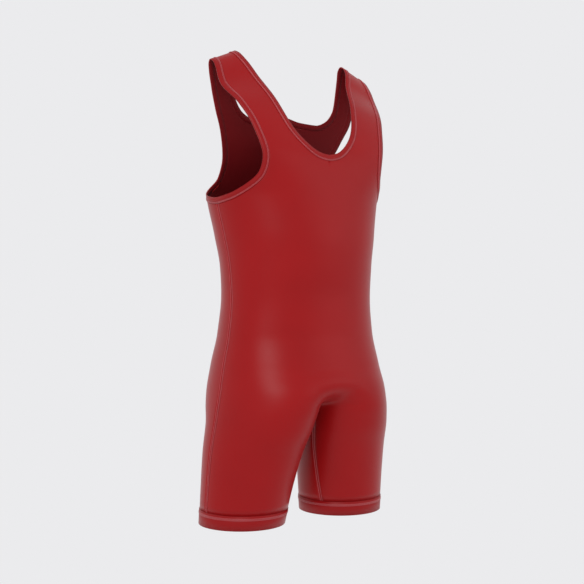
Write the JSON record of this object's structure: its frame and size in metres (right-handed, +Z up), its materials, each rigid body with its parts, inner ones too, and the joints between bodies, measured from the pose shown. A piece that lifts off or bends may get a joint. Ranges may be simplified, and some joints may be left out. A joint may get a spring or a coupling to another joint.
{
  "type": "wrestling singlet",
  "caption": "Sleeveless one-piece wrestling singlet in stretch cloth, worn shape with no wearer, with banded neck, armholes and leg hems.",
  "frame": {"origin": "between the tops of the two straps, where the wearer's shoulders hold the garment", "axes": "+Z up, -Y out of the front, +X to the garment's left"},
  "size_m": [0.3756, 0.2566, 0.8386],
  "materials": {
    "panel_cloth": "satin knit with a soft sheen",
    "band_cloth": "satin knit, folded double and coverstitched"
  },
  "bodies": {
    "root": {"front_panel": "panel_cloth", "back_panel": "panel_cloth", "neck_band": "band_cloth", "armhole_band_left": "band_cloth", "armhole_band_right": "band_cloth", "leg_band_left": "band_cloth", "leg_band_right": "band_cloth"}
  },
  "joints": []
}
